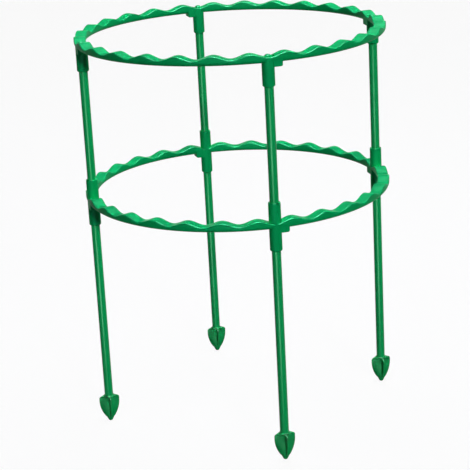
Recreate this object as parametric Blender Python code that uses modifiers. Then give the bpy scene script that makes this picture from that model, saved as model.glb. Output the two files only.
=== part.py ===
"""A two-tier plant support: two wavy rings of clip-together arcs on four stakes with ground spikes.

Metres, +Z up. The origin is on the ground, in the middle of the four spike tips.
The front stake stands at -Y, the right one at +X, the back one at +Y and the left one at -X.
"""

import math

import bmesh
import bpy
from mathutils import Matrix

# Whole object
RING_RADIUS = 0.1354  # circle through the stakes, and the middle of both rings' bands
LOWER_RING_HEIGHT = 0.2156  # ground to the underside of the lower ring's band
TIER_SPACING = 0.1431  # underside of the lower band to the underside of the upper one
FIT = 0.0003  # gap between pieces that touch on the real object

# Band of a ring: flat walls, a well rounded underside and a wavy top
BAND_WIDTH = 0.0106
BAND_HEIGHT = 0.0065  # underside to the middle of the waves
WAVE_SWING = 0.00185  # middle of the waves to a crest or a trough
WAVES_PER_ARC = 7
BAND_FOOT_RADIUS = 0.0042  # of the lower corners, where the wall is high enough
BAND_EDGE_RADIUS = 0.0009
BAND_FLAT = 0.0002  # least flat wall between the lower and the upper corners

# Rods: a plastic sleeve over a steel tube
ROD_DIAMETER = 0.0080
SLEEVE_WALL = 0.0005
STEEL_WALL = 0.0005

# Hubs: the sockets for the rods, moulded on the arcs
HUB_WALL = 0.0011
SOCKET_DEPTH = 0.0200
HUB_ROOF = 0.0050  # solid part above a downward socket
COLLAR_DEPTH = 0.0180  # upward socket of the lower ring
HUB_CHAMFER = 0.0009
DOME_RADIUS = 0.0036
DOME_HEIGHT = 0.0020

# Clip: a T-shaped lug on a hub, and the deeper end block of the next arc that drops over it
LUG_NECK_WIDTH = 0.0024
LUG_NECK_LENGTH = 0.0012
LUG_HEAD_LENGTH = 0.0020
BLOCK_DEPTH = 0.0035  # how far the block hangs below the band's underside
BLOCK_SIDE_WALL = 0.0018
BLOCK_END_WALL = 0.0026
BLOCK_ROOF = 0.0015
BLOCK_EDGE_RADIUS = 0.0012
BLOCK_INSET = 0.0001  # how far the block's side lies inside the band's wall
HORN_THICKNESS = 0.0009  # thinnest part of the arc's end, where it wraps round the hub

# Ground spike
SPIKE_HEIGHT = 0.0265  # tip to the rim of the collar
SPIKE_SOCKET_DEPTH = 0.0140
SPIKE_WALL = 0.0009
SPIKE_RIM_WALL = 0.0005
TIP_RADIUS = 0.0012  # flat end of the tip
CONE_RADIUS = 0.0039
CONE_HEIGHT = 0.0053  # tip to the lower ends of the fins
CONE_SHOULDER_RADIUS = 0.0023  # where the blunt tip turns into the cone
CONE_SHOULDER_HEIGHT = 0.0014
FIN_REACH = 0.0095  # axis to the widest point of a fin
FIN_FOOT_REACH = 0.0046  # axis to the lower end of a fin's edge
FIN_THICKNESS = 0.0022
FIN_TOP = 0.0253
FIN_WIDEST = 0.0210
SHOULDER_RADIUS = 0.0024
FINS = 4

# Fineness of the faceted shapes
ROUND_STEPS = 24
TUBE_STEPS = 20
STEEL_STEPS = 16
STEPS_PER_WAVE = 6
FOOT_STEPS = 2
EDGE_STEPS = 1
BLOCK_EDGE_STEPS = 2
DOME_STEPS = 4
FIN_EDGE_STEPS = 6
SHOULDER_STEPS = 4
SHARP_ANGLE = 32  # degrees, above which an edge stays sharp
WELD = 0.0000001  # points closer than this are one point

# Worked out from the sizes above
HUB_BORE = ROD_DIAMETER / 2 + FIT
HUB_RADIUS = HUB_BORE + HUB_WALL
TROUGH_HEIGHT = BAND_HEIGHT - WAVE_SWING
LUG_HEAD_WIDTH = BAND_WIDTH - 2 * (BLOCK_SIDE_WALL + FIT)
LUG_REACH = HUB_RADIUS + LUG_NECK_LENGTH + LUG_HEAD_LENGTH
LUG_TOP = TROUGH_HEIGHT - BLOCK_ROOF - FIT
BLOCK_REACH = LUG_REACH + FIT + BLOCK_END_WALL
UPPER_RING_HEIGHT = LOWER_RING_HEIGHT + TIER_SPACING

# The stakes, by the direction in which each one stands
STAKES = {"front": -90, "right": 0, "back": 90, "left": 180}

# Finishes: a colour, a roughness and a metallic value
ARC_FINISH = ((0.0, 0.3, 0.1, 1.0), 0.35, 0.0)
SLEEVE_FINISH = ((0.01, 0.25, 0.08, 1.0), 0.25, 0.0)
SPIKE_FINISH = ((0.0, 0.2, 0.06, 1.0), 0.4, 0.0)
STEEL_FINISH = ((0.55, 0.56, 0.57, 1.0), 0.4, 1.0)


def clear_scene():
    for obj in list(bpy.data.objects):
        bpy.data.objects.remove(obj, do_unlink=True)


def make_material(name, finish):
    color, roughness, metallic = finish
    material = bpy.data.materials.new(name)
    material.use_nodes = True
    shader = material.node_tree.nodes["Principled BSDF"]
    shader.inputs["Base Color"].default_value = color
    shader.inputs["Roughness"].default_value = roughness
    shader.inputs["Metallic"].default_value = metallic
    material.diffuse_color = color
    return material


def link(name, data):
    """A new object in the scene, at the origin."""
    obj = bpy.data.objects.new(name, data)
    bpy.context.scene.collection.objects.link(obj)
    return obj


def finished_mesh(obj):
    """The object's shape with its modifiers applied, as a closed mesh in world space. The object goes."""
    bpy.context.view_layer.update()
    graph = bpy.context.evaluated_depsgraph_get()
    mesh = bpy.data.meshes.new_from_object(obj.evaluated_get(graph))
    mesh.transform(obj.matrix_world)
    shape = bmesh.new()
    shape.from_mesh(mesh)
    bmesh.ops.remove_doubles(shape, verts=shape.verts, dist=WELD)
    bmesh.ops.recalc_face_normals(shape, faces=shape.faces)
    shape.to_mesh(mesh)
    shape.free()
    bpy.data.objects.remove(obj, do_unlink=True)
    return mesh


def combined(mesh, other, operation):
    """The mesh after a Boolean with the other one."""
    obj = link("work", mesh)
    tool = link("tool", other)
    boolean = obj.modifiers.new("Boolean", "BOOLEAN")
    boolean.operation = operation
    boolean.solver = "EXACT"
    boolean.object = tool
    result = finished_mesh(obj)
    bpy.data.objects.remove(tool, do_unlink=True)
    return result


def turned(profile, steps):
    """A solid of revolution about Z. The profile is (radius, height) points, down its outer side."""
    mesh = bpy.data.meshes.new("profile")
    points = [(radius, 0, height) for radius, height in profile]
    mesh.from_pydata(points, [(i, i + 1) for i in range(len(points) - 1)], [])
    obj = link("turned", mesh)
    screw = obj.modifiers.new("Screw", "SCREW")
    screw.steps = steps
    screw.render_steps = steps
    screw.use_merge_vertices = True
    screw.merge_threshold = WELD
    return finished_mesh(obj)


def box(across, along, low, high):
    """A box from its two (start, end) spans and its two heights."""
    shape = bmesh.new()
    bmesh.ops.create_cube(shape, size=1.0)
    size = (across[1] - across[0], along[1] - along[0], high - low)
    middle = ((across[0] + across[1]) / 2, (along[0] + along[1]) / 2, (low + high) / 2)
    bmesh.ops.scale(shape, verts=shape.verts, vec=size)
    bmesh.ops.translate(shape, verts=shape.verts, vec=middle)
    mesh = bpy.data.meshes.new("box")
    shape.to_mesh(mesh)
    shape.free()
    return mesh


def prism(outline, low, high):
    """An upright solid over a flat outline of (x, y) points."""
    shape = bmesh.new()
    base = shape.faces.new([shape.verts.new((x, y, low)) for x, y in outline])
    side = bmesh.ops.extrude_face_region(shape, geom=[base])
    raised = [part for part in side["geom"] if isinstance(part, bmesh.types.BMVert)]
    bmesh.ops.translate(shape, verts=raised, vec=(0, 0, high - low))
    bmesh.ops.recalc_face_normals(shape, faces=shape.faces)
    mesh = bpy.data.meshes.new("prism")
    shape.to_mesh(mesh)
    shape.free()
    return mesh


def rod(radius, low, high, steps):
    """An upright solid cylinder on the Z axis."""
    return turned([(0, high), (radius, high), (radius, low), (0, low)], steps)


def moved(mesh, x, y):
    mesh.transform(Matrix.Translation((x, y, 0)))
    return mesh


def corner(center_x, center_z, radius, start, end, steps):
    """Points of a round corner, from one angle in degrees to another."""
    turns = [math.radians(start + (end - start) * i / steps) for i in range(steps + 1)]
    return [(center_x + radius * math.cos(a), center_z + radius * math.sin(a)) for a in turns]


def band_section(top):
    """The band cut across: (across, height) points, with two round corners below and two above."""
    half = BAND_WIDTH / 2
    edge = half - BAND_EDGE_RADIUS
    high = top - BAND_EDGE_RADIUS
    foot = min(BAND_FOOT_RADIUS, TROUGH_HEIGHT - BAND_EDGE_RADIUS - BAND_FLAT, half - BAND_FLAT)
    points = corner(foot - half, foot, foot, 180, 270, FOOT_STEPS)
    points += corner(half - foot, foot, foot, 270, 360, FOOT_STEPS)
    points += corner(edge, high, BAND_EDGE_RADIUS, 0, 90, EDGE_STEPS)
    points += corner(-edge, high, BAND_EDGE_RADIUS, 90, 180, EDGE_STEPS)
    return points


def wave_top(distance, pitch):
    return BAND_HEIGHT - WAVE_SWING * math.cos(math.tau * distance / pitch)


def wavy_band():
    """The band of one arc, from beside the post at +X to just inside its hub's post at +Y."""
    quarter = RING_RADIUS * math.tau / len(STAKES)
    pitch = quarter / WAVES_PER_ARC
    steps = STEPS_PER_WAVE * WAVES_PER_ARC
    shape = bmesh.new()
    rings = []
    for distance in [pitch * i / STEPS_PER_WAVE for i in range(steps)] + [quarter - HUB_WALL / 2]:
        angle = distance / RING_RADIUS
        ring = [
            shape.verts.new(
                ((RING_RADIUS + across) * math.cos(angle), (RING_RADIUS + across) * math.sin(angle), height)
            )
            for across, height in band_section(wave_top(distance, pitch))
        ]
        rings.append(ring)
    count = len(rings[0])
    for ring, following in zip(rings, rings[1:]):
        for i in range(count):
            j = (i + 1) % count
            shape.faces.new([ring[i], ring[j], following[j], following[i]])
    shape.faces.new(rings[0])
    shape.faces.new(rings[-1])
    bmesh.ops.recalc_face_normals(shape, faces=shape.faces)
    mesh = bpy.data.meshes.new("band")
    shape.to_mesh(mesh)
    shape.free()
    return mesh


def end_block():
    """The deeper end block under the band, with rounded edges. It lies along the arc beside +X."""
    half = BAND_WIDTH / 2 - BLOCK_INSET
    length = (-BLOCK_REACH / 2, BLOCK_REACH / 2)
    obj = link("block", box((-half, half), length, -BLOCK_DEPTH, TROUGH_HEIGHT - BAND_FLAT))
    bevel = obj.modifiers.new("Bevel", "BEVEL")
    bevel.width = min(BLOCK_EDGE_RADIUS, BLOCK_DEPTH / 2)
    bevel.segments = BLOCK_EDGE_STEPS
    mesh = moved(finished_mesh(obj), RING_RADIUS, 0)
    return turned_to(mesh, math.degrees(BLOCK_REACH / 2 / RING_RADIUS))


def lug_outline(gap):
    """The T of the clip seen from above, along +X from the hub's axis, grown by a gap."""
    root = HUB_RADIUS - HUB_WALL / 2
    shoulder = HUB_RADIUS + LUG_NECK_LENGTH - gap
    reach = LUG_REACH + gap
    neck = LUG_NECK_WIDTH / 2 + gap
    head = LUG_HEAD_WIDTH / 2 + gap
    right = [(root, neck), (shoulder, neck), (shoulder, head), (reach, head)]
    left = [(x, -y) for x, y in reversed(right)]
    return left + right


def turned_to(mesh, degrees):
    mesh.transform(Matrix.Rotation(math.radians(degrees), 4, "Z"))
    return mesh


def lower_hub_post():
    """The solid post of a double-socket hub, before it is bored."""
    top = HUB_ROOF + COLLAR_DEPTH
    bottom = -SOCKET_DEPTH - FIT
    shoulder = HUB_RADIUS - HUB_CHAMFER
    profile = [(0, top), (shoulder, top), (HUB_RADIUS, top - HUB_CHAMFER / 2)]
    profile += [(HUB_RADIUS, bottom + HUB_CHAMFER), (shoulder, bottom), (0, bottom)]
    return turned(profile, ROUND_STEPS)


def upper_hub_post():
    """The solid post of a closed hub with its dome, before it is bored."""
    top = HUB_ROOF
    bottom = -SOCKET_DEPTH - FIT
    shoulder = HUB_RADIUS - HUB_CHAMFER
    profile = [(0, top + DOME_HEIGHT)]
    for i in range(1, DOME_STEPS + 1):
        turn = math.tau / 4 * i / DOME_STEPS
        profile.append((DOME_RADIUS * math.sin(turn), top + DOME_HEIGHT * math.cos(turn)))
    profile += [(HUB_RADIUS - HUB_CHAMFER / 2, top), (HUB_RADIUS, top - HUB_CHAMFER / 2)]
    profile += [(HUB_RADIUS, bottom + HUB_CHAMFER), (shoulder, bottom), (0, bottom)]
    return turned(profile, ROUND_STEPS)


def arc_mesh(post, bores):
    """One quarter arc: block near +X, hub post at +Y, with the bores given as (low, high) heights."""
    mesh = combined(wavy_band(), end_block(), "UNION")
    mesh = combined(mesh, moved(post, 0, RING_RADIUS), "UNION")
    lug = prism(lug_outline(0.0), -BLOCK_DEPTH, LUG_TOP)
    lug = moved(turned_to(lug, 180), 0, RING_RADIUS)
    mesh = combined(mesh, lug, "UNION")
    for low, high in bores:
        bore = rod(HUB_BORE, low, high, ROUND_STEPS)
        mesh = combined(mesh, moved(bore, 0, RING_RADIUS), "DIFFERENCE")
    over = BAND_HEIGHT + 2 * WAVE_SWING
    under = -2 * BLOCK_DEPTH
    wrap_radius = HUB_RADIUS + FIT
    wrap = rod(wrap_radius, under, over, ROUND_STEPS)
    mesh = combined(mesh, moved(wrap, RING_RADIUS, 0), "DIFFERENCE")
    horn = BAND_WIDTH / 2 - HORN_THICKNESS
    horn_start = math.sqrt(max(wrap_radius**2 - horn**2, 0.0))
    beside = box((-BAND_WIDTH, BAND_WIDTH), (-BAND_WIDTH, horn_start), under, over)
    mesh = combined(mesh, moved(beside, RING_RADIUS, 0), "DIFFERENCE")
    slot = prism(lug_outline(FIT), under, LUG_TOP + FIT)
    return combined(mesh, moved(turned_to(slot, 90), RING_RADIUS, 0), "DIFFERENCE")


def tube_mesh(outer, wall, length, steps):
    inner = outer - wall
    profile = [(inner, length), (outer, length), (outer, 0), (inner, 0), (inner, length)]
    return turned(profile, steps)


def fin_outline():
    """One fin of the spike seen from the side, from inside the core out to the barb."""
    root = CONE_RADIUS / 2
    drop = FIN_WIDEST - CONE_HEIGHT
    inset = FIN_REACH - FIN_FOOT_REACH
    edge_radius = (inset**2 + drop**2) / (2 * inset)
    lowest = math.degrees(math.asin(drop / edge_radius))
    edge = corner(FIN_REACH - edge_radius, FIN_WIDEST, edge_radius, -lowest, 0, FIN_EDGE_STEPS)
    shoulder_side = FIN_REACH - SHOULDER_RADIUS
    shoulder = corner(shoulder_side, FIN_TOP - SHOULDER_RADIUS, SHOULDER_RADIUS, 0, 90, SHOULDER_STEPS)
    return [(root, CONE_HEIGHT)] + edge + shoulder + [(root, FIN_TOP)]


def fins_mesh():
    """Upright fins round the axis, apart from each other. The core joins them."""
    fin = prism(fin_outline(), -FIN_THICKNESS / 2, FIN_THICKNESS / 2)
    fin.transform(Matrix.Rotation(math.tau / 4, 4, "X"))
    cross = bmesh.new()
    for _ in range(FINS):
        cross.from_mesh(fin)
        turned_to(fin, 360 / FINS)
    mesh = bpy.data.meshes.new("fins")
    cross.to_mesh(mesh)
    cross.free()
    return mesh


def spike_mesh():
    """The ground spike, tip at the origin."""
    bore = ROD_DIAMETER / 2 + FIT
    core = bore + SPIKE_WALL
    rim = bore + SPIKE_RIM_WALL
    floor = SPIKE_HEIGHT - SPIKE_SOCKET_DEPTH
    profile = [(0, SPIKE_HEIGHT), (rim, SPIKE_HEIGHT), (core, FIN_TOP), (core, floor)]
    profile += [(CONE_RADIUS, CONE_HEIGHT), (CONE_SHOULDER_RADIUS, CONE_SHOULDER_HEIGHT)]
    profile += [(TIP_RADIUS, 0), (0, 0)]
    mesh = combined(turned(profile, ROUND_STEPS), fins_mesh(), "UNION")
    above = SPIKE_HEIGHT + SPIKE_SOCKET_DEPTH
    return combined(mesh, rod(bore, floor, above, ROUND_STEPS), "DIFFERENCE")


def place(collection, name, mesh, location, degrees, material):
    """A part: its own object, which may share its mesh with its copies."""
    obj = bpy.data.objects.new(name, mesh)
    obj.location = location
    obj.rotation_euler = (0, 0, math.radians(degrees))
    collection.objects.link(obj)
    if not mesh.materials:
        mesh.materials.append(material)
        mesh.shade_smooth()
        mesh.set_sharp_from_angle(angle=math.radians(SHARP_ANGLE))
    return obj


def stake_point(degrees, height):
    angle = math.radians(degrees)
    return (RING_RADIUS * math.cos(angle), RING_RADIUS * math.sin(angle), height)


def place_rings(collection):
    """Both rings. Each arc is named for the two sides of the cage that it joins."""
    under = -SOCKET_DEPTH - FIT
    socket = (2 * under, -FIT)
    collar = (HUB_ROOF, HUB_ROOF + 2 * COLLAR_DEPTH)
    lower = arc_mesh(lower_hub_post(), [socket, collar])
    upper = arc_mesh(upper_hub_post(), [socket])
    lower_green = make_material("lower_arc_plastic", ARC_FINISH)
    upper_green = make_material("upper_arc_plastic", ARC_FINISH)
    spans = {"back_right": 0, "back_left": 90, "front_left": 180, "front_right": 270}
    for side, degrees in spans.items():
        place(collection, "lower_arc_" + side, lower, (0, 0, LOWER_RING_HEIGHT), degrees, lower_green)
        place(collection, "upper_arc_" + side, upper, (0, 0, UPPER_RING_HEIGHT), degrees, upper_green)


def place_rods(collection, tier, low, high):
    """Four sleeves and the steel tubes in them, from one height to another."""
    length = high - low
    outer = ROD_DIAMETER / 2
    steel_outer = outer - SLEEVE_WALL - FIT
    sleeve = tube_mesh(outer, SLEEVE_WALL, length, TUBE_STEPS)
    steel = tube_mesh(steel_outer, STEEL_WALL, length, STEEL_STEPS)
    sleeve_green = make_material(tier + "_sleeve_plastic", SLEEVE_FINISH)
    bare_steel = make_material(tier + "_steel", STEEL_FINISH)
    for side, degrees in STAKES.items():
        foot = stake_point(degrees, low)
        place(collection, tier + "_sleeve_" + side, sleeve, foot, degrees, sleeve_green)
        place(collection, tier + "_steel_tube_" + side, steel, foot, degrees, bare_steel)


def place_spikes(collection):
    spike = spike_mesh()
    green = make_material("spike_plastic", SPIKE_FINISH)
    for side, degrees in STAKES.items():
        place(collection, "spike_" + side, spike, stake_point(degrees, 0.0), degrees, green)


def build():
    clear_scene()
    collection = bpy.data.collections.new("plant_support")
    bpy.context.scene.collection.children.link(collection)
    place_rings(collection)
    spike_floor = SPIKE_HEIGHT - SPIKE_SOCKET_DEPTH
    place_rods(collection, "lower", spike_floor + FIT, LOWER_RING_HEIGHT - 2 * FIT)
    place_rods(collection, "upper", LOWER_RING_HEIGHT + HUB_ROOF + FIT, UPPER_RING_HEIGHT - 2 * FIT)
    place_spikes(collection)


build()
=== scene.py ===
"""Looks of a green two-tier plant support: wavy clip-together rings on coated rods with ground spikes."""
import math

import bmesh
import bpy
import numpy as np
from mathutils import Matrix, Vector

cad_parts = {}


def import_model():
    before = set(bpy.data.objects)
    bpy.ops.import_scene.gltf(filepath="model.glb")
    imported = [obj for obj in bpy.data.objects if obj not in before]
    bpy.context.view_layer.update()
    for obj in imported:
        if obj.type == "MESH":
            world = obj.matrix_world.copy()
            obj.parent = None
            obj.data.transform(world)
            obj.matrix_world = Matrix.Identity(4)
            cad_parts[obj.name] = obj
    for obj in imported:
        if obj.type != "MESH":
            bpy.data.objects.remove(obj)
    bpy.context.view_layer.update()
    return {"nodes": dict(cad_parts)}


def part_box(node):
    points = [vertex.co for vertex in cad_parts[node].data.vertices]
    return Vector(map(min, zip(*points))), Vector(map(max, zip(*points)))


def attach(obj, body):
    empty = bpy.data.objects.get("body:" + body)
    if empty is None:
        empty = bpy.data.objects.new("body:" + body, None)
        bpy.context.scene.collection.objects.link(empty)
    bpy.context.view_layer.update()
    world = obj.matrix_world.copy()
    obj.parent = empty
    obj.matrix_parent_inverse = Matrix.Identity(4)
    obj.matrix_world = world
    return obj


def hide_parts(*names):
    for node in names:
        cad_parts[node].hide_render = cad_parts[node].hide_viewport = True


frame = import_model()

# Sizes read from the frame
UPPER_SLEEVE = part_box("upper_sleeve_right")
LOWER_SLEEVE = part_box("lower_sleeve_right")
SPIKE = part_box("spike_right")
RING_RADIUS = (UPPER_SLEEVE[0].x + UPPER_SLEEVE[1].x) / 2
ROD_RADIUS = (UPPER_SLEEVE[1].x - UPPER_SLEEVE[0].x) / 2
SPIKE_TOP = SPIKE[1].z
WING_REACH = (SPIKE[1].x - SPIKE[0].x) / 2
HUB_FOOT = 0.0203  # underside of the band down to the end of a hub
LOWER_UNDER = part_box("lower_arc_back_right")[0].z + HUB_FOOT
UPPER_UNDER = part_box("upper_arc_back_right")[0].z + HUB_FOOT
QUARTER = RING_RADIUS * math.tau / 4

# Band of a ring, in metres
BAND_WIDTH = 0.0106
BAND_HEIGHT = 0.0065  # to the middle of the waves
WAVE_SWING = 0.00185
WAVES_PER_ARC = 7
STEPS_PER_WAVE = 36
CORNER_ACROSS = 0.0042  # half axes of the round lower corners
CORNER_UP = 0.0034
BAND_EDGE = 0.0009
BAND_CROWN = 0.00006

# Hubs, with their collars and buttons
HUB_RADIUS = 0.0054
HUB_ROOF = 0.0050
HUB_CHAMFER = 0.0010
HUB_SOFTNESS = 0.0003  # rounding of the chamfer's own corners
COLLAR_TOP = 0.0230
COLLAR_ROUND = 0.00025
COLLAR_DRAFT = 0.00025
COLLAR_DRAFT_DEPTH = 0.0011
WALL_HOLD = 0.0002  # points this close under a bend keep the wall's shading flat
DISC_RADIUS = 0.00527
DISC_ROUND = 0.0006
DISC_TAPER = 0.0012
DOME_RADIUS = 0.0030
DOME_HEIGHT = 0.0022
GROOVE_WIDTH = 0.0010
GROOVE_DEPTH = 0.0005
SOCKET_ROOF = -0.0003  # from the band's underside
SLIDE_GAP = 0.00004
MOUTH_FLARE = 0.0003
LATHE_STEPS = 96

# Clip: the end block of an arc drops over the lug of the hub before it
BLOCK_REACH = 0.0114
BLOCK_DEPTH = 0.0035
BLOCK_BURIED = CORNER_UP + 0.0001  # how far the block's top stands inside the band
BLOCK_CORNER = 0.0011
BLOCK_SIDE_ROUND = 0.0007
BLOCK_END_ROUND = 0.0016
FLUSH = 0.00002  # how far a block's side lies inside the band's wall
HORN = 0.0009  # thickness of an arc's end where it wraps round the hub
WRAP_GAP = 0.00025
WRAP_RADIUS = HUB_RADIUS + WRAP_GAP
HORN_START = math.sqrt(WRAP_RADIUS**2 - (BAND_WIDTH / 2 - HORN) ** 2)
SEAM = 0.0002
LUG_ROOT = HUB_RADIUS - 0.0005
LUG_NECK = (0.0012, 0.0066)  # half width, and how far out it reaches
LUG_HEAD = (0.0032, 0.0086)
LUG_TOP = 0.00285
LUG_GAP = 0.00015

# How far a cutter goes past the arc that it cuts, and past a socket's mouth
PAST_ARC = 0.02
PAST_MOUTH = 0.04

# Ground spike
TIP_RADIUS = 0.0024
CONE_RADIUS = 0.0039
CONE_HEIGHT = 0.0053
CONE_EASE = 0.0004  # how far under that height the cone's last row lies
CORE_RADIUS = 0.0052
COLLAR_RIM = 0.0047
RIM_ROUND = 0.0003
WING_FOOT_REACH = 0.0046
WING_TOP = 0.0253
WING_WIDEST = 0.0210
SHOULDER_RADIUS = 0.0024
SHOULDER_ROWS = (0.0008, 0.0016)  # rows on the flat of the shoulder, in from its round
BODY_DEPTH = 0.0056  # from the axis to the body's front
BODY_FULL = 0.0190  # height where the body reaches that depth
WING_PINCH = 0.5  # how far the wings take the body's power below a circle's
THIN_FROM = 0.0100  # height from which the wings grow thinner
THIN_PINCH = 0.75  # what the thin top of the wings takes off it besides
RIB_HALF = 0.00095  # half of a rib's thickness
RIB_POWER = 3
RIB_BLEND = 10  # how sharply the ribs rise from the body
SPIKE_STEPS = 256
RIDGE_DRAW = 0.7  # how far the points round the axis draw together on the wings and ribs
SPIKE_SOCKET_GAP = 0.0002  # under the rod's end
PAST_RIM = 0.01

# Rods
SHEATH_WALL = 0.00078
SHEATH_LIP = 0.0002

# Patterns in the finishes, as noise scales, and how deep their relief is
CLOUD_SCALE = 18
SPECK_SCALE = 140
SHEEN_SCALE = 420
GRAIN_SCALE = 1500
GRAIN_DEPTH = 0.00002
STREAK_SCALE = 900
STREAK_DEPTH = 0.00001
NOISE_SPAN = (0.3, 0.7)  # most of a noise lies between these
WALL_TILT = (0.02, 0.3)  # a wall's normal rises less than the first, an upper face's more than the second

# Camera, fitted to the rings and the stakes, with its angles in degrees
CAMERA_PLACE = (-0.3054, -1.3388, 0.6113)
CAMERA_PITCH = 16.465
CAMERA_YAW = 12.724
CAMERA_ROLL = -3.006
CAMERA_LENS = 117.526
CAMERA_SHIFT = -0.08

# Room: the white band of the world, as the sine of the elevation, and the floor
HORIZON_BAND = (0.085, 0.16)
ROOM_LEVEL = 0.01
FLOOR_REACH = 20
FLOOR_THICKNESS = 0.01
FLOOR_PALE = (0.8, 0.8, 0.8)
FLOOR_BOUNCE = (0.025, 0.025, 0.025)
FLOOR_WHITE = 0.93  # how much of the floor's look is plain white, the rest being lit
LAMP_AWAY = 2
SKYLIGHT = (0.96, 0.99, 1.15)  # colour of the lamp overhead

STAKES = {"front": -90, "right": 0, "back": 90, "left": 180}
ARCS = {"back_right": 0, "back_left": 90, "front_left": 180, "front_right": 270}
SHARP_ANGLE = 35


# Mesh helpers

def arc_steps(start, end, steps):
    """Angles in radians from one to another, both ends included."""
    return np.radians(np.linspace(start, end, steps + 1))


def outward(mesh):
    """The mesh with its doubles merged and its faces pointing out."""
    shape = bmesh.new()
    shape.from_mesh(mesh)
    bmesh.ops.remove_doubles(shape, verts=shape.verts, dist=1e-7)
    bmesh.ops.dissolve_degenerate(shape, edges=shape.edges, dist=1e-8)
    bmesh.ops.recalc_face_normals(shape, faces=shape.faces)
    shape.to_mesh(mesh)
    shape.free()
    return mesh


def loft(rows, ring=False):
    """A closed mesh over a grid of points, each row a loop that goes round.

    The first and last rows get flat caps, or meet each other where ring is true.
    """
    count, around, _ = rows.shape
    index = np.arange(count * around).reshape(count, around)
    first = index if ring else index[:-1]
    second = np.roll(index, -1, axis=0) if ring else index[1:]
    quads = np.stack([first, np.roll(first, -1, axis=1), np.roll(second, -1, axis=1), second], axis=-1)
    faces = quads.reshape(-1, 4).tolist()
    if not ring:
        faces += [index[0, ::-1].tolist(), index[-1].tolist()]
    mesh = bpy.data.meshes.new("loft")
    mesh.from_pydata(rows.reshape(-1, 3).tolist(), [], faces)
    return outward(mesh)


def lathe(profile, ring=False):
    """A turned solid: each (radius, height) point of the profile goes once round Z."""
    turn = np.linspace(0, math.tau, LATHE_STEPS, endpoint=False)
    radius, height = np.array(profile).T
    tall = np.repeat(height[:, None], LATHE_STEPS, axis=1)
    rows = np.stack([np.outer(radius, np.cos(turn)), np.outer(radius, np.sin(turn)), tall], axis=-1)
    return loft(rows, ring)


def prism(outline, low, high):
    """An upright solid over a flat outline of (x, y) points."""
    flat = np.array(outline, dtype=float)
    rows = [np.column_stack([flat, np.full(len(flat), level)]) for level in (low, high)]
    return loft(np.array(rows))


def box(x, y, z):
    """A box from its three (low, high) spans."""
    return prism([(x[0], y[0]), (x[1], y[0]), (x[1], y[1]), (x[0], y[1])], *z)


def rounded(center_r, center_z, radius, start, end, steps):
    """Profile points on a round corner."""
    turn = arc_steps(start, end, steps)
    return list(zip(center_r + radius * np.cos(turn), center_z + radius * np.sin(turn)))


def moved(mesh, x, y):
    mesh.transform(Matrix.Translation((x, y, 0)))
    return mesh


def turned_to(mesh, degrees):
    mesh.transform(Matrix.Rotation(math.radians(degrees), 4, "Z"))
    return mesh


def linked(name, data):
    obj = bpy.data.objects.new(name, data)
    bpy.context.scene.collection.objects.link(obj)
    return obj


def finished(obj):
    """The object's mesh with its modifiers applied. The object goes."""
    bpy.context.view_layer.update()
    mesh = bpy.data.meshes.new_from_object(obj.evaluated_get(bpy.context.evaluated_depsgraph_get()))
    bpy.data.objects.remove(obj, do_unlink=True)
    return outward(mesh)


def combined(mesh, other, operation):
    """The mesh after a Boolean with the other one."""
    obj = linked("work", mesh)
    tool = linked("tool", other)
    boolean = obj.modifiers.new("Boolean", "BOOLEAN")
    boolean.operation = operation
    boolean.solver = "MANIFOLD"
    boolean.object = tool
    result = finished(obj)
    bpy.data.objects.remove(tool, do_unlink=True)
    return result


def joined(mesh, *others):
    for other in others:
        mesh = combined(mesh, other, "UNION")
    return mesh


def cut(mesh, *others):
    for other in others:
        mesh = combined(mesh, other, "DIFFERENCE")
    return mesh


# Rings

def wave_top(along):
    """Height of the band's top: a cosine with a trough over each stake."""
    return BAND_HEIGHT - WAVE_SWING * np.cos(math.tau * along * WAVES_PER_ARC / QUARTER)


def band_section(top):
    """The band cut across, a row of points for each height of its top.

    It goes round from the middle of the underside: an elliptic lower corner, a flat wall, a round upper
    corner and a slightly crowned top, and then the same back down the other wall.
    """
    half = BAND_WIDTH / 2
    low = arc_steps(270, 360, 10)
    high = arc_steps(0, 90, 8)
    crown = np.linspace(1, 0, 5)[1:]
    across = np.concatenate(
        [
            [0.0],
            half - CORNER_ACROSS + CORNER_ACROSS * np.cos(low),
            half - BAND_EDGE + BAND_EDGE * np.cos(high),
            (half - BAND_EDGE) * crown,
        ]
    )
    fixed = np.concatenate([[0.0], CORNER_UP + CORNER_UP * np.sin(low)])
    hung = np.concatenate([-BAND_EDGE + BAND_EDGE * np.sin(high), BAND_CROWN * (1 - crown**2)])
    lower = np.repeat(fixed[None, :], len(top), axis=0)
    height = np.concatenate([lower, top[:, None] + hung[None, :]], axis=1)
    across = np.concatenate([across, -across[-2:0:-1]])
    height = np.concatenate([height, height[:, -2:0:-1]], axis=1)
    return np.repeat(across[None, :], len(top), axis=0), height


def bent(along, across, height):
    """Points of a flat (along, across, height) space, with along wrapped round the ring from +X."""
    angle = along / RING_RADIUS
    radius = RING_RADIUS + across
    return np.stack([radius * np.cos(angle), radius * np.sin(angle), height], axis=-1)


def band_mesh():
    """The wavy band of one arc, swept from the post at +X to just past the hub at +Y."""
    pitch = QUARTER / WAVES_PER_ARC
    steps = STEPS_PER_WAVE * WAVES_PER_ARC + STEPS_PER_WAVE // 4
    along = pitch / STEPS_PER_WAVE * np.arange(steps + 1)
    across, height = band_section(wave_top(along))
    return loft(bent(along[:, None], across, height))


def round_inset(height, radius):
    """How far a quarter-round lower edge draws a wall in, at a height above its foot."""
    reach = np.clip(radius - height, 0, radius)
    return radius - np.sqrt(radius**2 - reach**2)


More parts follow.
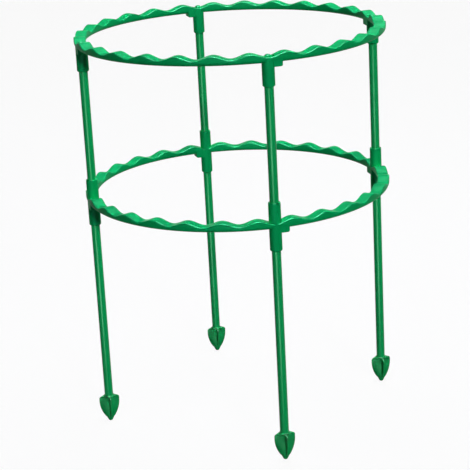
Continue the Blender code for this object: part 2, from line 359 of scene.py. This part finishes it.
def block_mesh():
    """A deep rounded block wrapped round the ring, from inside the hub at +X, its top buried in the band.

    Each row goes round a rectangle with round corners at its far end. Near the foot the rows draw in by a
    quarter circle, a small one along the sides and a larger one at the far end.
    """
    curve = BLOCK_END_ROUND * (1 - np.cos(arc_steps(0, 90, 9)))
    above = np.concatenate([curve, [BLOCK_DEPTH + BLOCK_BURIED]])
    side = round_inset(above, BLOCK_SIDE_ROUND)[:, None]
    end = round_inset(above, BLOCK_END_ROUND)[:, None] - side
    half = BAND_WIDTH / 2 - FLUSH
    turn = arc_steps(0, 90, 8)
    corner = BLOCK_CORNER - side
    far = BLOCK_REACH - BLOCK_CORNER - end
    near = np.full((len(above), len(turn)), -BLOCK_CORNER)
    along = np.concatenate(
        [far + corner * np.cos(turn), near, near, far + corner * np.cos(turn[::-1])], axis=1
    )
    out = (half - BLOCK_CORNER) + corner * np.sin(turn)
    near_out = np.repeat(half - side, len(turn), axis=1) * np.linspace(1, 0.5, len(turn))
    across = np.concatenate([out, near_out, -near_out[:, ::-1], -out[:, ::-1]], axis=1)
    height = np.repeat((above - BLOCK_DEPTH)[:, None], across.shape[1], axis=1)
    return loft(bent(along, across, height))


def lug_mesh(gap, low, high):
    """The T of the clip, out along +X from the hub's axis and grown by a gap."""
    neck, shoulder = LUG_NECK[0] + gap, LUG_NECK[1] - gap
    head, reach = LUG_HEAD[0] + gap, LUG_HEAD[1] + gap
    right = [(LUG_ROOT, neck), (shoulder, neck), (shoulder, head), (reach, head)]
    return prism([(x, -y) for x, y in reversed(right)] + right, low, high)


def hub_foot():
    """Profile points of a hub's chamfered end, down its outer side."""
    low = -HUB_FOOT
    blend = HUB_SOFTNESS * math.tan(math.radians(22.5))
    points = rounded(HUB_RADIUS - HUB_SOFTNESS, low + HUB_CHAMFER + blend, HUB_SOFTNESS, 0, -45, 3)
    points += rounded(HUB_RADIUS - HUB_CHAMFER - blend, low + HUB_SOFTNESS, HUB_SOFTNESS, -45, -90, 3)
    return points + [(0, low)]


def lower_post():
    """The post of a double hub: its rim drawn in a little at the collar's mouth, then its wall and foot."""
    draft = COLLAR_TOP - COLLAR_DRAFT_DEPTH
    rim = HUB_RADIUS - COLLAR_DRAFT
    profile = [(0, COLLAR_TOP)]
    profile += rounded(rim - COLLAR_ROUND, COLLAR_TOP - COLLAR_ROUND, COLLAR_ROUND, 90, 15, 4)
    profile += [(HUB_RADIUS, draft), (HUB_RADIUS, draft - WALL_HOLD)]
    return lathe(profile + hub_foot())


def upper_post():
    """The post of a closed hub: a disc, drawn in to the band's wall, with a round button in a groove."""
    turn = arc_steps(0, 90, 12)
    floor_level = HUB_ROOF - GROOVE_DEPTH
    profile = list(zip(DOME_RADIUS * np.sin(turn), HUB_ROOF + DOME_HEIGHT * np.cos(turn)))
    profile += [(DOME_RADIUS, floor_level), (DOME_RADIUS + GROOVE_WIDTH / 2, floor_level)]
    profile += [(DOME_RADIUS + GROOVE_WIDTH, HUB_ROOF)]
    profile += rounded(DISC_RADIUS - DISC_ROUND, HUB_ROOF - DISC_ROUND, DISC_ROUND, 90, 0, 5)
    profile += [(DISC_RADIUS, CORNER_UP), (HUB_RADIUS, CORNER_UP - DISC_TAPER)]
    return lathe(profile + hub_foot())


def bore(low, high, mouth):
    """The cutter for a rod's socket, flared where its mouth is."""
    radius = ROD_RADIUS + SLIDE_GAP
    wide = radius + MOUTH_FLARE
    if mouth < (low + high) / 2:
        wall = [(radius, high), (radius, mouth + MOUTH_FLARE), (wide, mouth), (wide, low)]
    else:
        wall = [(wide, high), (wide, mouth), (radius, mouth - MOUTH_FLARE), (radius, low)]
    return lathe([(0, high)] + wall + [(0, low)])


def arc_mesh(post, bores):
    """One quarter arc: its block near +X, hollowed for the hub before it, and its own hub at +Y.

    The hub's walls are carried on past the post as flush cheeks, up to where the next arc's end begins.
    """
    past = PAST_ARC
    cheek = turned_to(block_mesh(), 90)
    mesh = joined(band_mesh(), cheek)
    beyond = (RING_RADIUS - past, RING_RADIUS + past)
    mesh = cut(mesh, box((-past, -HORN_START + SEAM), beyond, (-past, past)))
    lug = moved(turned_to(lug_mesh(0.0, -BLOCK_DEPTH, LUG_TOP), 180), 0, RING_RADIUS)
    mesh = joined(mesh, moved(post, 0, RING_RADIUS), lug)
    for low, high, mouth in bores:
        mesh = cut(mesh, moved(bore(low, high, mouth), 0, RING_RADIUS))
    mesh = joined(mesh, block_mesh())
    wrap = lathe([(0, past), (WRAP_RADIUS, past), (WRAP_RADIUS, -past), (0, -past)])
    beside = box((-past, past), (-past, HORN_START), (-past, past))
    slot = turned_to(lug_mesh(LUG_GAP, -past, LUG_TOP + LUG_GAP), 90)
    return cut(mesh, *(moved(tool, RING_RADIUS, 0) for tool in (wrap, beside, slot)))


# Rods and spikes

def sheath_mesh(low, high):
    """The rod's green sheath: a tube with round lips, its wall closed over the steel."""
    lip = SHEATH_LIP
    inner = ROD_RADIUS - SHEATH_WALL
    profile = rounded(inner + lip, high - lip, lip, 180, 90, 3)
    profile += rounded(ROD_RADIUS - lip, high - lip, lip, 90, 0, 3)
    profile += rounded(ROD_RADIUS - lip, low + lip, lip, 0, -90, 3)
    profile += rounded(inner + lip, low + lip, lip, -90, -180, 3)
    return lathe(profile, ring=True)


def wing_profile():
    """Profile points of a wing's edge: a circular arc from its foot to its widest, then a round shoulder."""
    inset = WING_REACH - WING_FOOT_REACH
    drop = WING_WIDEST - CONE_HEIGHT
    bulge = (inset**2 + drop**2) / (2 * inset)
    shoulder = WING_TOP - SHOULDER_RADIUS
    height = np.linspace(CONE_HEIGHT, shoulder, 34)
    reach = WING_REACH - bulge + np.sqrt(bulge**2 - np.clip(WING_WIDEST - height, 0, None) ** 2)
    points = list(zip(reach, height))[:-1]
    points += rounded(WING_REACH - SHOULDER_RADIUS, shoulder, SHOULDER_RADIUS, 0, 90, 12)
    return points


def spike_rows():
    """How far out and how high each row of a spike lies, and the slice of the rows that have wings.

    The rows run from the round tip up the cone, up the wings, over their shoulders and up the collar.
    """
    tip = rounded(0, TIP_RADIUS, TIP_RADIUS, -89, -30, 10)
    cone = np.linspace(tip[-1], (CONE_RADIUS, CONE_HEIGHT - CONE_EASE), 8)[1:]
    flat = [(WING_REACH - SHOULDER_RADIUS - step, WING_TOP) for step in SHOULDER_ROWS]
    rim = rounded(COLLAR_RIM - RIM_ROUND, SPIKE_TOP - RIM_ROUND, RIM_ROUND, 10, 90, 4)
    collar = [(CORE_RADIUS, WING_TOP)] + rim
    rows = np.concatenate([tip, cone, wing_profile(), flat, collar])
    return rows[:, :1], rows[:, 1:], slice(len(tip) + len(cone), len(rows) - len(collar))


def body_depth(wing, height, winged):
    """How far the body comes out in front: as far as it is wide where it has no wings.

    Beside the wings it grows by a quarter of a sine wave, and draws in to the round core at their shoulders.
    """
    rise = np.clip((height[winged] - CONE_HEIGHT) / (BODY_FULL - CONE_HEIGHT), 0, 1)
    full = CONE_RADIUS + (BODY_DEPTH - CONE_RADIUS) * np.sin(rise * math.pi / 2)
    drawn_in = np.clip((height[winged] - WING_TOP + SHOULDER_RADIUS) / SHOULDER_RADIUS, 0, 1)
    depth = wing.copy()
    depth[winged] = np.minimum(wing[winged], full + (CORE_RADIUS - full) * drawn_in)
    return depth


def spike_mesh():
    """One ground spike, with the rod's socket bored in its top.

    Each row goes once round the axis. At an angle a it lies as far out as the soft maximum of two
    superellipses. One is the body, (|cos a| / wing) ** n + (|sin a| / depth) ** n = r ** -n. The other is a
    thin rib along Y, (|sin a| / wing) ** 3 + (|cos a| / RIB_HALF) ** 3 = r ** -3. The power n is 2, for a
    circle, where there are no wings, and goes down to 0.75 at their thin top.
    """
    wing, height, winged = spike_rows()
    depth = body_depth(wing, height, winged)
    thinned = np.clip((height - THIN_FROM) / (WING_TOP - THIN_FROM), 0, 1)
    thinned = thinned**2 * (3 - 2 * thinned)
    share = np.clip((wing - depth) / (WING_REACH - BODY_DEPTH), 0, 1)
    power = 2 - (WING_PINCH + THIN_PINCH * thinned) * share
    even = np.linspace(0, math.tau, SPIKE_STEPS, endpoint=False)
    turn = even - RIDGE_DRAW * np.sin(4 * even) / 4
    across, deep = np.abs(np.cos(turn)), np.abs(np.sin(turn))
    body = ((across / wing) ** power + (deep / depth) ** power) ** (-1 / power)
    rib = ((deep / wing) ** RIB_POWER + (across / RIB_HALF) ** RIB_POWER) ** (-1 / RIB_POWER)
    soft = (body**RIB_BLEND + rib**RIB_BLEND) ** (1 / RIB_BLEND)
    radius = np.where(wing > depth, np.minimum(soft, wing), body)
    tall = np.repeat(height, SPIKE_STEPS, axis=1)
    mesh = loft(np.stack([radius * np.cos(turn), radius * np.sin(turn), tall], axis=-1))
    return cut(mesh, bore(LOWER_SLEEVE[0].z - SPIKE_SOCKET_GAP, SPIKE_TOP + PAST_RIM, SPIKE_TOP))


# Pieces

def piece(name, mesh, material, body, node):
    """A finished piece: smooth, in its place in its mesh, riding on its body in the CAD node's stead."""
    mesh.materials.clear()
    mesh.materials.append(material)
    mesh.shade_smooth()
    mesh.set_sharp_from_angle(angle=math.radians(SHARP_ANGLE))
    obj = linked(name, mesh)
    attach(obj, body)
    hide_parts(node)


def placed(mesh, degrees, x, height):
    """A copy of a mesh moved out along X and turned to its side of the cage."""
    copy = mesh.copy()
    copy.transform(Matrix.Rotation(math.radians(degrees), 4, "Z") @ Matrix.Translation((x, 0, height)))
    return copy


def build_rings(material):
    """The arcs of both rings. A hub has a socket under it, and a lower one has a second in its collar."""
    socket = (-PAST_MOUTH, SOCKET_ROOF, -HUB_FOOT)
    collar = (HUB_ROOF, PAST_MOUTH, COLLAR_TOP)
    lower = arc_mesh(lower_post(), [socket, collar])
    upper = arc_mesh(upper_post(), [socket])
    tiers = (("lower", lower, LOWER_UNDER, "lower_ring"), ("upper", upper, UPPER_UNDER, "top_ring"))
    for side, degrees in ARCS.items():
        for tier, mesh, under, body in tiers:
            copy = placed(mesh, degrees, 0, under)
            piece(tier + "_ring_" + side, copy, material, body, tier + "_arc_" + side)


def build_rods(sheath, steel):
    """New sheaths for the rods, over the CAD's own steel tubes in a new finish."""
    for tier, body, span in (("lower", "stakes", LOWER_SLEEVE), ("upper", "upper_rods", UPPER_SLEEVE)):
        mesh = sheath_mesh(span[0].z, span[1].z)
        for side, degrees in STAKES.items():
            copy = placed(mesh, degrees, RING_RADIUS, 0)
            piece(tier + "_sheath_" + side, copy, sheath, body, tier + "_sleeve_" + side)
            tube = frame["nodes"][tier + "_steel_tube_" + side]
            tube.data.materials.clear()
            tube.data.materials.append(steel)


def build_spikes(material):
    """The spikes, all with their wings along X."""
    mesh = spike_mesh()
    for side, degrees in STAKES.items():
        turn = math.radians(degrees)
        copy = moved(mesh.copy(), RING_RADIUS * math.cos(turn), RING_RADIUS * math.sin(turn))
        piece("ground_spike_" + side, copy, material, "stakes", "spike_" + side)


# Materials

def new_material(name):
    material = bpy.data.materials.new(name)
    material.use_nodes = True
    tree = material.node_tree
    return material, tree, tree.nodes["Principled BSDF"]


def object_place(tree, stretch):
    """Object coordinates, squeezed or stretched along the axes."""
    coords = tree.nodes.new("ShaderNodeTexCoord")
    mapping = tree.nodes.new("ShaderNodeMapping")
    mapping.inputs["Scale"].default_value = stretch
    tree.links.new(coords.outputs["Object"], mapping.inputs["Vector"])
    return mapping.outputs["Vector"]


def noise(tree, place, scale, detail):
    texture = tree.nodes.new("ShaderNodeTexNoise")
    texture.inputs["Scale"].default_value = scale
    texture.inputs["Detail"].default_value = detail
    tree.links.new(place, texture.inputs["Vector"])
    return texture.outputs["Fac"]


def ranged(tree, value, low, high):
    """A noise spread between two values."""
    node = tree.nodes.new("ShaderNodeMapRange")
    node.inputs["From Min"].default_value = NOISE_SPAN[0]
    node.inputs["From Max"].default_value = NOISE_SPAN[1]
    node.inputs["To Min"].default_value = low
    node.inputs["To Max"].default_value = high
    tree.links.new(value, node.inputs["Value"])
    return node.outputs["Result"]


def averaged(tree, first, second):
    node = tree.nodes.new("ShaderNodeMix")
    node.inputs["Factor"].default_value = 0.5
    tree.links.new(first, node.inputs["A"])
    tree.links.new(second, node.inputs["B"])
    return node.outputs["Result"]


def mixed(tree, factor, first, second):
    """A colour between two others, the first where the factor is 0."""
    node = tree.nodes.new("ShaderNodeMix")
    node.data_type = "RGBA"
    node.inputs["A"].default_value = (*first, 1)
    node.inputs["B"].default_value = (*second, 1)
    tree.links.new(factor, node.inputs["Factor"])
    return node.outputs["Result"]


def bump(tree, height, distance, strength):
    node = tree.nodes.new("ShaderNodeBump")
    node.inputs["Distance"].default_value = distance
    node.inputs["Strength"].default_value = strength
    tree.links.new(height, node.inputs["Height"])
    return node.outputs["Normal"]


def matt_on_walls(tree, polished, matt):
    """Roughness that is the polished value where a surface faces up, and matt on walls and undersides."""
    geometry = tree.nodes.new("ShaderNodeNewGeometry")
    split = tree.nodes.new("ShaderNodeSeparateXYZ")
    tree.links.new(geometry.outputs["True Normal"], split.inputs[0])
    node = tree.nodes.new("ShaderNodeMapRange")
    node.interpolation_type = "SMOOTHSTEP"
    node.inputs["From Min"].default_value = WALL_TILT[0]
    node.inputs["From Max"].default_value = WALL_TILT[1]
    node.inputs["To Min"].default_value = matt
    tree.links.new(split.outputs["Z"], node.inputs["Value"])
    tree.links.new(polished, node.inputs["To Max"])
    return node.outputs["Result"]


def plastic(name, light, dark, roughness, specular, tint, relief, stretch=(1, 1, 1), matt_walls=None):
    """Coloured plastic: cloudy and specked in colour, uneven in its sheen, with a fine grain."""
    material, tree, shader = new_material(name)
    place = object_place(tree, stretch)
    clouds = averaged(tree, noise(tree, place, CLOUD_SCALE, 2), noise(tree, place, SPECK_SCALE, 4))
    tree.links.new(mixed(tree, ranged(tree, clouds, 0, 1), dark, light), shader.inputs["Base Color"])
    sheen = ranged(tree, noise(tree, place, SHEEN_SCALE, 4), *roughness)
    if matt_walls is not None:
        sheen = matt_on_walls(tree, sheen, matt_walls)
    tree.links.new(sheen, shader.inputs["Roughness"])
    grain = noise(tree, place, GRAIN_SCALE, 3)
    tree.links.new(bump(tree, grain, GRAIN_DEPTH, relief), shader.inputs["Normal"])
    shader.inputs["Specular IOR Level"].default_value = specular
    shader.inputs["Specular Tint"].default_value = (*tint, 1)
    return material


def moulded_green():
    """The rings' plastic, glossier on top than on its walls."""
    return plastic(
        "moulded_green",
        light=(0.0, 0.50, 0.137),
        dark=(0.0, 0.46, 0.125),
        roughness=(0.3, 0.38),
        specular=0.05,
        tint=(0.06, 0.9, 0.5),
        relief=0.35,
        matt_walls=0.5,
    )


def sheath_green():
    """The rods' coating, smooth and drawn out along them."""
    return plastic(
        "sheath_green",
        light=(0.0, 0.54, 0.143),
        dark=(0.0, 0.50, 0.13),
        roughness=(0.27, 0.31),
        specular=0.1,
        tint=(0.4, 1.0, 0.65),
        relief=0.05,
        stretch=(1, 1, 0.05),
    )


def spike_green():
    """The spikes' plastic, darker and rougher."""
    return plastic(
        "spike_green",
        light=(0.0, 0.43, 0.103),
        dark=(0.0, 0.37, 0.09),
        roughness=(0.42, 0.5),
        specular=0.06,
        tint=(0.5, 1.0, 0.75),
        relief=0.6,
    )


def drawn_steel():
    """The tubes' bare steel, streaked along them."""
    material, tree, shader = new_material("drawn_steel")
    streaks = noise(tree, object_place(tree, (1, 1, 0.02)), STREAK_SCALE, 4)
    tree.links.new(mixed(tree, streaks, (0.42, 0.43, 0.44), (0.62, 0.63, 0.64)), shader.inputs["Base Color"])
    tree.links.new(ranged(tree, streaks, 0.28, 0.5), shader.inputs["Roughness"])
    tree.links.new(bump(tree, streaks, STREAK_DEPTH, 0.3), shader.inputs["Normal"])
    shader.inputs["Metallic"].default_value = 1.0
    return material


# Camera, room and lights

def camera():
    data = bpy.data.cameras.new("camera")
    data.sensor_width = 36
    data.lens = CAMERA_LENS
    data.shift_y = CAMERA_SHIFT
    data.clip_start = 0.01
    pitch, yaw, roll = (math.radians(angle) for angle in (CAMERA_PITCH, CAMERA_YAW, CAMERA_ROLL))
    forward = Vector((math.sin(yaw) * math.cos(pitch), math.cos(yaw) * math.cos(pitch), -math.sin(pitch)))
    right = Vector((math.cos(yaw), -math.sin(yaw), 0))
    up = right.cross(forward)
    side = math.cos(roll) * right + math.sin(roll) * up
    top = math.cos(roll) * up - math.sin(roll) * right
    turned = Matrix((side, top, -forward)).transposed().to_4x4()
    obj = linked("camera", data)
    obj.matrix_world = Matrix.Translation(CAMERA_PLACE) @ turned
    bpy.context.scene.camera = obj


def seen_directly(tree):
    """1 for rays from the camera, a mirror or glass, and 0 for the rest."""
    path = tree.nodes.new("ShaderNodeLightPath")
    total = path.outputs["Is Camera Ray"]
    for other in ("Is Glossy Ray", "Is Transmission Ray"):
        add = tree.nodes.new("ShaderNodeMath")
        add.operation = "ADD"
        add.use_clamp = True
        tree.links.new(total, add.inputs[0])
        tree.links.new(path.outputs[other], add.inputs[1])
        total = add.outputs[0]
    return total


def world():
    """The room: seen directly it is white up to just above the horizon, and it is a dim grey otherwise."""
    data = bpy.data.worlds.new("studio")
    bpy.context.scene.world = data
    data.use_nodes = True
    tree = data.node_tree
    coords = tree.nodes.new("ShaderNodeTexCoord")
    split = tree.nodes.new("ShaderNodeSeparateXYZ")
    fade = tree.nodes.new("ShaderNodeMapRange")
    fade.interpolation_type = "SMOOTHSTEP"
    fade.inputs["From Min"].default_value = HORIZON_BAND[0]
    fade.inputs["From Max"].default_value = HORIZON_BAND[1]
    fade.inputs["To Min"].default_value = 1.0
    fade.inputs["To Max"].default_value = ROOM_LEVEL
    tree.links.new(coords.outputs["Generated"], split.inputs[0])
    tree.links.new(split.outputs["Z"], fade.inputs["Value"])
    level = tree.nodes.new("ShaderNodeMix")
    level.inputs["A"].default_value = ROOM_LEVEL
    tree.links.new(seen_directly(tree), level.inputs["Factor"])
    tree.links.new(fade.outputs["Result"], level.inputs["B"])
    tree.links.new(level.outputs["Result"], tree.nodes["Background"].inputs["Strength"])
    tree.nodes["Background"].inputs["Color"].default_value = (1, 1, 1, 1)


def floor():
    """A pale matt floor. Camera, mirror and glass see it nearly white, with the object's shadow in it."""
    span = (-FLOOR_REACH, FLOOR_REACH)
    obj = linked("floor", box(span, span, (-FLOOR_THICKNESS, 0.0)))
    material, tree, shader = new_material("paper")
    seen = seen_directly(tree)
    tree.links.new(mixed(tree, seen, FLOOR_BOUNCE, FLOOR_PALE), shader.inputs["Base Color"])
    shader.inputs["Roughness"].default_value = 0.9
    shader.inputs["Specular IOR Level"].default_value = 0.0
    white = tree.nodes.new("ShaderNodeEmission")
    share = tree.nodes.new("ShaderNodeMath")
    share.operation = "MULTIPLY"
    share.inputs[1].default_value = FLOOR_WHITE
    mix = tree.nodes.new("ShaderNodeMixShader")
    tree.links.new(seen, share.inputs[0])
    tree.links.new(share.outputs[0], mix.inputs[0])
    tree.links.new(shader.outputs[0], mix.inputs[1])
    tree.links.new(white.outputs[0], mix.inputs[2])
    tree.links.new(mix.outputs[0], tree.nodes["Material Output"].inputs["Surface"])
    obj.data.materials.append(material)


def lamp(name, azimuth, elevation, spread, level):
    """A far round lamp in a direction in degrees, as wide as its spread.

    Its level is the light that it gives on a face turned to it, where 1 shows a colour as it is written.
    """
    turn, lift = math.radians(azimuth), math.radians(elevation)
    toward = Vector((math.cos(turn) * math.cos(lift), math.sin(turn) * math.cos(lift), math.sin(lift)))
    data = bpy.data.lights.new(name, "SUN")
    data.angle = math.radians(spread)
    data.energy = level * math.pi
    obj = linked(name, data)
    obj.location = toward * LAMP_AWAY
    obj.rotation_euler = (-toward).to_track_quat("-Z", "Y").to_euler()
    return obj


def hung_lamp(name, azimuth, elevation, distance, spread, level):
    """A round lamp hung near the cage and turned to the middle of its top ring.

    Its level is the light that a small lamp of the same power would give there.
    """
    obj = lamp(name, azimuth, elevation, spread, level)
    obj.data.type = "AREA"
    disk = obj.data
    disk.shape = "DISK"
    disk.size = 2 * distance * math.tan(math.radians(spread / 2))
    disk.energy = level * (math.pi * distance) ** 2
    disk.color = SKYLIGHT
    obj.location = obj.location.normalized() * distance + Vector((0, 0, UPPER_UNDER))
    obj.visible_camera = False


def gloss_lamp(name, azimuth, elevation, spread, level):
    """A lamp that shows only in the gloss and that nothing shades, the floor included."""
    obj = lamp(name, azimuth, elevation, spread, level)
    obj.visible_diffuse = False
    obj.data.use_shadow = False
    obj.data.cycles.use_multiple_importance_sampling = False


def lights():
    """Soft light from overhead, a fill from behind that stays out of the gloss, and a narrow lamp in front.

    The gloss lamps stand for strip lights: the glint shows along the bands, the stripe down each rod.
    """
    hung_lamp("overhead", azimuth=50, elevation=72, distance=1.2, spread=50, level=1.18)
    back_fill = lamp("back_fill", azimuth=100, elevation=12, spread=40, level=0.25)
    back_fill.visible_glossy = False
    lamp("front", azimuth=-84, elevation=23, spread=8, level=0.44)
    gloss_lamp("glint", azimuth=-76, elevation=79, spread=27, level=50.0)
    gloss_lamp("stripe", azimuth=-112, elevation=-15, spread=26, level=2.0)


build_rings(moulded_green())
build_rods(sheath_green(), drawn_steel())
build_spikes(spike_green())
camera()
world()
floor()
lights()

bpy.context.scene.view_settings.view_transform = "Standard"
